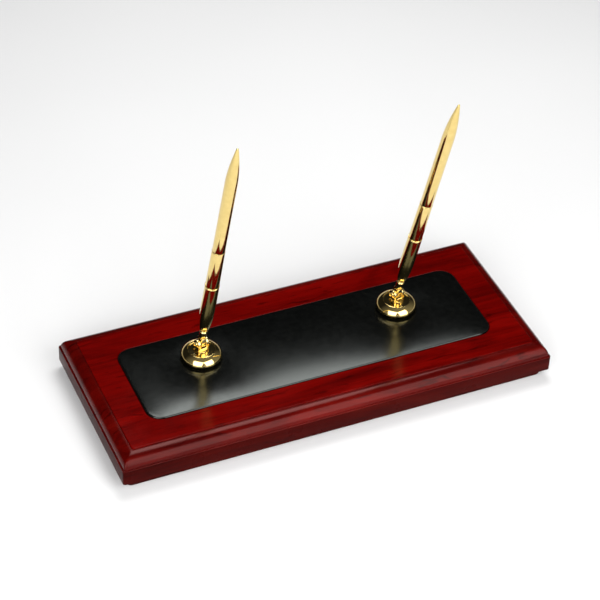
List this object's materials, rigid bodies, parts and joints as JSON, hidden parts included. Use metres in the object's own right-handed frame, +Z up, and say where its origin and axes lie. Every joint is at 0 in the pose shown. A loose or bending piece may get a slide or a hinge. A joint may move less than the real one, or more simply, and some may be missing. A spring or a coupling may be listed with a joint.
{
  "type": "double desk pen stand",
  "caption": "Moulded wooden base with an inset leather panel, carrying swivelling domed pen holders and the slim desk pens that stand in them.",
  "frame": {"origin": "centre of the flat felt underside, on the plane the stand rests on", "axes": "+X along the base's length, +Y from the front edge towards the holders' side, +Z up"},
  "size_m": [0.305, 0.1284, 0.2219],
  "materials": {
    "lacquered_wood": "dark red stained veneer under clear gloss lacquer",
    "plinth_wood": "dark red-brown stained and lacquered",
    "felt": "pressed felt",
    "leather": "black smooth leather with fine grain and soft sheen, lightly padded",
    "backing_board": "raw hardboard",
    "gold_plate": "polished gold plate on brass",
    "steel": "zinc-plated steel fixings",
    "liner_plastic": "black moulded plastic sleeve",
    "refill_metal": "drawn metal refill tube and point"
  },
  "bodies": {
    "root": {"wood_board": "lacquered_wood", "plinth": "plinth_wood", "felt_pad": "felt", "panel_board": "backing_board", "leather_pad": "leather", "left_dome": "gold_plate", "left_fixing_washer": "steel", "left_fixing_nut": "steel", "right_dome": "gold_plate", "right_fixing_washer": "steel", "right_fixing_nut": "steel"},
    "left_swivel": {"left_yoke": "gold_plate", "left_hinge_pin": "gold_plate", "left_spring_washer": "steel", "left_retaining_ring": "steel"},
    "left_holder": {"left_tongue": "gold_plate", "left_funnel": "gold_plate", "left_lip_ring": "gold_plate", "left_liner": "liner_plastic"},
    "left_pen": {"left_pen_front": "gold_plate", "left_pen_refill": "refill_metal"},
    "left_pen_back": {"left_pen_ring": "gold_plate", "left_pen_tail": "gold_plate"},
    "right_swivel": {"right_yoke": "gold_plate", "right_hinge_pin": "gold_plate", "right_spring_washer": "steel", "right_retaining_ring": "steel"},
    "right_holder": {"right_tongue": "gold_plate", "right_funnel": "gold_plate", "right_lip_ring": "gold_plate", "right_liner": "liner_plastic"},
    "right_pen": {"right_pen_front": "gold_plate", "right_pen_refill": "refill_metal"},
    "right_pen_back": {"right_pen_ring": "gold_plate", "right_pen_tail": "gold_plate"}
  },
  "joints": [
    {"name": "left_pan", "type": "hinge", "parent": "root", "child": "left_swivel", "pos_m": [-0.071, 0.01, 0.0407], "axis": [0, 0, 1], "continuous": true},
    {"name": "left_tilt", "type": "hinge", "parent": "left_swivel", "child": "left_holder", "pos_m": [-0.071, 0.01, 0.0407], "axis": [0.9816, 0.1908, 0], "range_deg": [-61.7, 38.3]},
    {"name": "left_pen_lift", "type": "slide", "parent": "left_holder", "child": "left_pen", "axis": [0.0387, -0.1991, 0.9792], "range_m": [0, 0.045]},
    {"name": "left_pen_unscrew", "type": "hinge", "parent": "left_pen", "child": "left_pen_back", "pos_m": [-0.06744, -0.00831, 0.13079], "axis": [0.0387, -0.1991, 0.9792], "range_deg": [0, 720]},
    {"name": "right_pan", "type": "hinge", "parent": "root", "child": "right_swivel", "pos_m": [0.071, 0.01, 0.0407], "axis": [0, 0, 1], "continuous": true},
    {"name": "right_tilt", "type": "hinge", "parent": "right_swivel", "child": "right_holder", "pos_m": [0.071, 0.01, 0.0407], "axis": [0.9744, 0.225, 0], "range_deg": [-63.2, 36.8]},
    {"name": "right_pen_lift", "type": "slide", "parent": "right_holder", "child": "right_pen", "axis": [0.0514, -0.2225, 0.9736], "range_m": [0, 0.045]},
    {"name": "right_pen_unscrew", "type": "hinge", "parent": "right_pen", "child": "right_pen_back", "pos_m": [0.07573, -0.01047, 0.13027], "axis": [0.0514, -0.2225, 0.9736], "range_deg": [0, 720]}
  ]
}
